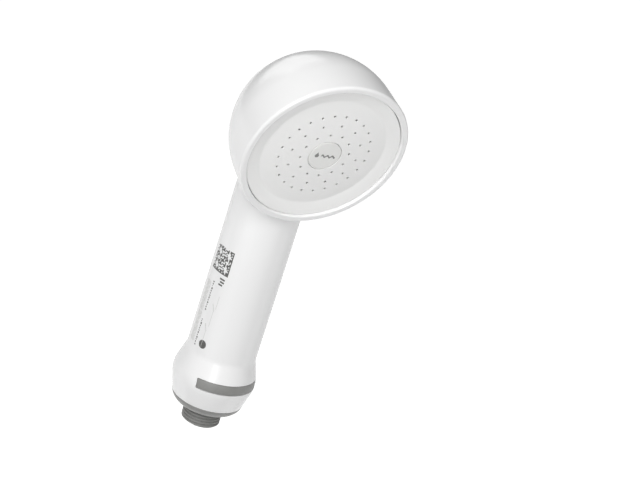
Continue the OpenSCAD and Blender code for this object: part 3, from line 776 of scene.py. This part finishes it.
def band():
    piece = soften(band_layer(BAND_SUNK, BAND_SEAM), BAND_ROUND, 2)
    combine(piece, band_layer(BAND_FLANGE, BAND_GAP), "UNION")
    mount(smooth(piece), "grey_plastic", ["band_inlay"])


band()


# ------------------------------------------------------------------ inlet cap and valve spring
def ridge():
    """The thread's ridge, a right-hand helix, trimmed to the threaded length."""
    root_r = THREAD_R - THREAD_DEPTH
    inner_r = root_r - RIDGE_SUNK
    section = [(inner_r, -ROOT_HALF), (root_r, -ROOT_HALF), (THREAD_R, -CREST_HALF), (THREAD_R, CREST_HALF),
               (root_r, ROOT_HALF), (inner_r, ROOT_HALF)]
    section = [(r, z - THREAD_PITCH) for r, z in section]
    turn_steps = 60
    path = [(360 / turn_steps, THREAD_PITCH / turn_steps)] * int(RIDGE_TURNS * turn_steps)
    piece = coiled("ridge", section, path)
    end_r = root_r - 0.1
    crest_r = THREAD_R + 0.2
    first_z = 0.1
    last_z = SHOULDER_Z + 0.2
    trim = turned("trim", [(0, first_z), (end_r, first_z), (crest_r, 1.3), (crest_r, SHOULDER_Z - 1),
                           (end_r, last_z), (0, last_z)])
    return combine(piece, trim, "INTERSECT")


def cap_cover():
    root_r = THREAD_R - THREAD_DEPTH
    spigot_r = HANDLE_R - CAP_SPIGOT
    inner_r = spigot_r - CAP_WALL
    socket_r = INLET_R + SOCKET_STEP
    corner_r = tail_foot_r() - CAP_ROUND * math.cos(FLANK_DOWN)
    top_z = CAP_EDGE_Z - CAP_SEAM
    corner_z = SHOULDER_Z + CAP_ROUND
    last = -math.degrees(math.asin((corner_z - top_z + SEAM_ROUND) / CAP_ROUND))
    side = arc((corner_r, corner_z), CAP_ROUND, -90, last, 20)
    lip = [(side[-1][0] - CAP_LIP, top_z - CAP_LIP), (side[-1][0] - SEAM_ROUND, top_z)]
    spigot_z = top_z + CAP_SPIGOT_H
    floor_z = SHOULDER_Z + CAP_FLOOR
    stop_z = MOUTH_DEPTH + STOP_H
    thread = [(INLET_R + CAP_CHAMFER, 0), (root_r - THREAD_CHAMFER, 0), (root_r, THREAD_CHAMFER),
              (root_r, SHOULDER_Z - CAP_CHAMFER), (root_r + CAP_CHAMFER, SHOULDER_Z)]
    spigot = [(spigot_r, top_z), (spigot_r, spigot_z - CAP_CHAMFER), (spigot_r - 0.2, spigot_z),
              (inner_r, spigot_z), (inner_r, floor_z)]
    boss = [(BOSS_R, floor_z), (BOSS_R, CAP_TOP), (socket_r, CAP_TOP), (socket_r, CAP_TOP - SOCKET_DEPTH),
            (INLET_R, CAP_TOP - SOCKET_FOOT)]
    inlet = [(INLET_R, stop_z), (STOP_R, stop_z), (STOP_R, MOUTH_DEPTH), (INLET_R, MOUTH_DEPTH),
             (INLET_R, CAP_CHAMFER)]
    outline = thread + side + lip + spigot + boss + inlet
    piece = turned("cap_cover", outline + outline[:1])
    combine(piece, ridge(), "UNION")
    mount(smooth(piece), "grey_plastic", ["inlet_cap"])


cap_cover()


def spring():
    """Round wire with three working turns between two half turns that lie flat."""
    base_z = SPRING_Z0 + WIRE_R
    rise = SPRING_Z1 - SPRING_Z0 - 2 * WIRE_R
    section = arc((SPRING_R, base_z), WIRE_R, 0, 330, 11)
    turn_steps = 36
    turn = 360 / turn_steps
    working_steps = 3 * turn_steps
    flat = [(turn, 0)] * (turn_steps // 2)
    working = [(turn, rise / working_steps)] * working_steps
    piece = coiled("spring", section, flat + working + flat)
    mount(smooth(piece, 60), "steel_fine", ["valve_spring"])
    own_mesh(piece)


spring()


# ------------------------------------------------------------------ printed marks
INK_DARK = printed_ink("dark_grey_ink", "#5C5C5A", "#686866")
INK_PALE = printed_ink("pale_grey_ink", "#CBCBC9", "#D6D6D4")
INK_EMBLEM = printed_ink("emblem_grey_ink", "#828280", "#8E8E8C")


def wrapped(first, last, low_z, high_z):
    """A printed bar on the handle between two azimuths in degrees from the front and two heights."""
    inner_r = HANDLE_R - PRINT_SUNK
    outer_r = HANDLE_R + PRINT_T
    section = [(inner_r, low_z), (outer_r, low_z), (outer_r, high_z), (inner_r, high_z)]
    widest = 4
    count = max(1, round((last - first) / widest))
    piece = coiled("bar", section, [((last - first) / count, 0)] * count)
    return settle(piece, Matrix.Rotation(math.radians(first - 90), 4, "Z"))


def code_block():
    """A square of plain cells, with solid bars at its right and lower sides."""
    left = -98.0
    right_side = -57.6
    low_z = 89.7
    high_z = 103.5
    cells = 20
    overlap = 0.01
    wide = (right_side - left) / cells
    tall = (high_z - low_z) / cells
    bars = [wrapped(right_side - wide, right_side, low_z, high_z)]
    bars.append(wrapped(left, right_side - wide, low_z, low_z + tall))
    for row in range(1, cells):
        start = None
        for column in range(cells):
            mix = row * row * 3 + column * 5 + row * column * 2 + column * column
            solid = column < cells - 1 and mix % 11 < 5
            if solid and start is None:
                start = column
            if not solid and start is not None:
                z = low_z + row * tall
                bars.append(wrapped(left + start * wide, left + column * wide, z - overlap, z + tall))
                start = None
    return bars


def small_marks():
    """Beside the handle's block: a mark of bars, and two columns of short dashes."""
    mark = ((-70.6, -60.6, 86.8, 87.7), (-68.6, -60.6, 85.2, 86.1), (-70.6, -62.6, 83.6, 84.5))
    bars = [wrapped(*corners) for corners in mark]
    dash_left = -82.6
    dash_gap = 0.55
    for low_z, high_z in ((67.0, 84.0), (46.5, 61.7)):
        z = low_z
        index = 0
        while z < high_z:
            length = (0.7, 1.1, 0.5, 0.9)[index % 4]
            reach = (3.0, 1.8, 2.4)[index % 3]
            bars.append(wrapped(dash_left, dash_left + reach, z, min(z + length, high_z)))
            z += length + dash_gap
            index += 1
    return bars


def dot():
    """A round spot."""
    dot_r = 2.35
    dot_z = 49.3
    azimuth = math.radians(-65.5)
    reach = 2
    place = Matrix.Rotation(azimuth, 4, "Z") @ shift(0, 0, dot_z) @ Matrix.Rotation(math.pi / 2, 4, "X")
    piece = wrapped(-76, -55, 46, 53)
    combine(piece, rod(dot_r, HANDLE_R - reach, HANDLE_R + reach, place, 40), "INTERSECT")
    return piece


def pale_lines():
    """Fine pale rows by the handle's left edge, and leader lines beside the dashes."""
    bars = []
    columns = 5
    column_left = -99.5
    column_step = 2.6
    line_w = 1.3
    row_gap = 0.7
    for column in range(columns):
        z = 47.5
        index = column
        while z < 82.4:
            length = (3.4, 5.2, 2.1, 4.3)[index % 4]
            first = column_left + column_step * column
            bars.append(wrapped(first, first + line_w, z, min(z + length, 82.6)))
            z += length + row_gap
            index += 1
    leaders = ((-61.5, -60.8, 70.5, 78.0), (-64.5, -63.8, 60.0, 69.0), (-67.5, -66.8, 47.5, 57.0))
    for corners in leaders:
        bars.append(wrapped(*corners))
    stair_run = 0.9
    stair_rise = 0.6
    for left, foot in ((-64.5, 69.0), (-67.5, 57.0)):
        for i in range(6):
            first = left - stair_run * i
            low_z = foot + stair_rise * i
            bars.append(wrapped(first, first + 1.2, low_z, low_z + 0.75))
    return bars


mount_print(join(code_block() + small_marks() + [dot()], "handle_print"), INK_DARK)
mount_print(join(pale_lines(), "handle_fine_print"), INK_PALE)


def emblem():
    """A plain drop beside a wave, printed across the badge."""
    half = 0.55
    points = [(-2.2 + 0.4 * i, half * math.sin(i * 0.9)) for i in range(21)]
    x, y = points[0]
    wave = point_piece("wave", (x, y - half, crown_z(abs(x)) - EMBLEM_SUNK))
    push((0, 2 * half * MM, 0))
    select_mesh()
    for (x0, y0), (x1, y1) in zip(points, points[1:]):
        push(((x1 - x0) * MM, (y1 - y0) * MM, (crown_z(abs(x1)) - crown_z(abs(x0))) * MM))
    select_mesh()
    push((0, 0, (EMBLEM_SUNK + PRINT_T) * MM))
    leave_edit()
    settle(wave, FACE)
    drop_x = -4.6
    drop_r = 1.1
    z = crown_z(4.4)
    foot = z - EMBLEM_SUNK
    top = z + PRINT_T + 0.02
    ball_place = FACE @ shift(drop_x, -0.15, 0)
    ball = turned("ball", [(0, foot), (drop_r, foot), (drop_r, top), (0, top)], ball_place, 32)
    bpy.ops.mesh.primitive_cylinder_add(vertices=3, radius=drop_r * MM, depth=(EMBLEM_SUNK + PRINT_T) * MM)
    tip = bpy.context.object
    tip.scale = (0.9, 1.15, 1)
    tip.location = Vector((drop_x, 0.75, z + (PRINT_T - EMBLEM_SUNK) / 2 + 0.005)) * MM
    settle(tip, FACE)
    mount_print(join([wave, ball, tip], "badge_emblem"), INK_EMBLEM)


emblem()


# ------------------------------------------------------------------ floor, light and camera
FLOOR_GLOW = 0.84                   # strength of the paper's own light
FLOOR_SIZE = 8                      # metres, as the next two are
FLOOR_AHEAD = 3.9                   # its middle lies this far behind the object
FLOOR_Z = -0.6
AZIMUTH = math.radians(33.62)       # the camera looks this far round from +Y towards +X
DROP = math.radians(20.60)          # and this far down
ROLL = math.radians(18.13)
DISTANCE = 1084.3                   # millimetres from the lens to the aim
LENS = 119.37
SENSOR = 36
SIDE = 26.1                         # the object stands this far left of the middle of the view
RISE = 4.1                          # and this far below it
PANEL_AWAY = 1.3                    # metres from the object's middle
WORLD_GLOW = 0.2


def floor():
    """White glowing paper that fills the view behind and below the object."""
    deselect()
    place = (FLOOR_AHEAD * math.sin(AZIMUTH), FLOOR_AHEAD * math.cos(AZIMUTH), FLOOR_Z)
    bpy.ops.mesh.primitive_plane_add(size=FLOOR_SIZE, location=place, rotation=(0, 0, -AZIMUTH))
    piece = bpy.context.object
    piece.name = "floor"
    settle(piece)
    mat, shader = finish("white_paper", "#FAFAFA", Roughness=0.9)
    shader.inputs["Emission Color"].default_value = (1, 1, 1, 1)
    shader.inputs["Emission Strength"].default_value = FLOOR_GLOW
    piece.data.materials.append(mat)


sight = Vector((math.sin(AZIMUTH) * math.cos(DROP), math.cos(AZIMUTH) * math.cos(DROP), -math.sin(DROP)))
level = sight.cross(Vector((0, 0, 1))).normalized()
upright = level.cross(sight)
right = level * math.cos(ROLL) + upright * math.sin(ROLL)
up = right.cross(sight)
middle = (CAD_BOX[0] + CAD_BOX[1]) / 2
aim = middle + right * SIDE * MM + up * RISE * MM
lens = bpy.data.cameras.new("camera")
lens.lens = LENS
lens.sensor_width = SENSOR
lens.clip_end = 20
camera = bpy.data.objects.new("camera", lens)
bpy.context.scene.collection.objects.link(camera)
turn = Matrix((right, up, -sight)).transposed().to_4x4()
camera.matrix_world = Matrix.Translation(aim - sight * DISTANCE * MM) @ turn
bpy.context.scene.camera = camera


def panel(name, towards, power, size=0.8):
    """A square light that faces the object's middle; towards is (right, up, near) as the camera sees."""
    data = bpy.data.lights.new(name, "AREA")
    data.shape = "SQUARE"
    data.size = size
    data.energy = power
    made = bpy.data.objects.new(name, data)
    bpy.context.scene.collection.objects.link(made)
    way = (right * towards[0] + up * towards[1] - sight * towards[2]).normalized()
    made.location = middle + way * PANEL_AWAY
    made.rotation_mode = "QUATERNION"
    made.rotation_quaternion = way.to_track_quat("Z", "Y")


floor()
panel("front", (-0.02, 0.2, 1), 9.6)
panel("glint", (0, -0.12, 1), 4.2, 0.36)
panel("low_left", (-0.8, -0.6, 0.8), 0.8)
panel("upper_left", (-0.7, 0.7, 1.2), 2.0)
panel("upper_right", (0.8, 0.8, 0.5), 2.1)
panel("behind", (-0.3, 1, -0.6), 3.0)
world = bpy.data.worlds.new("studio")
world.use_nodes = True
world.node_tree.nodes["Background"].inputs["Color"].default_value = (1, 1, 1, 1)
world.node_tree.nodes["Background"].inputs["Strength"].default_value = WORLD_GLOW
bpy.context.scene.world = world
bpy.context.scene.view_settings.view_transform = "Standard"
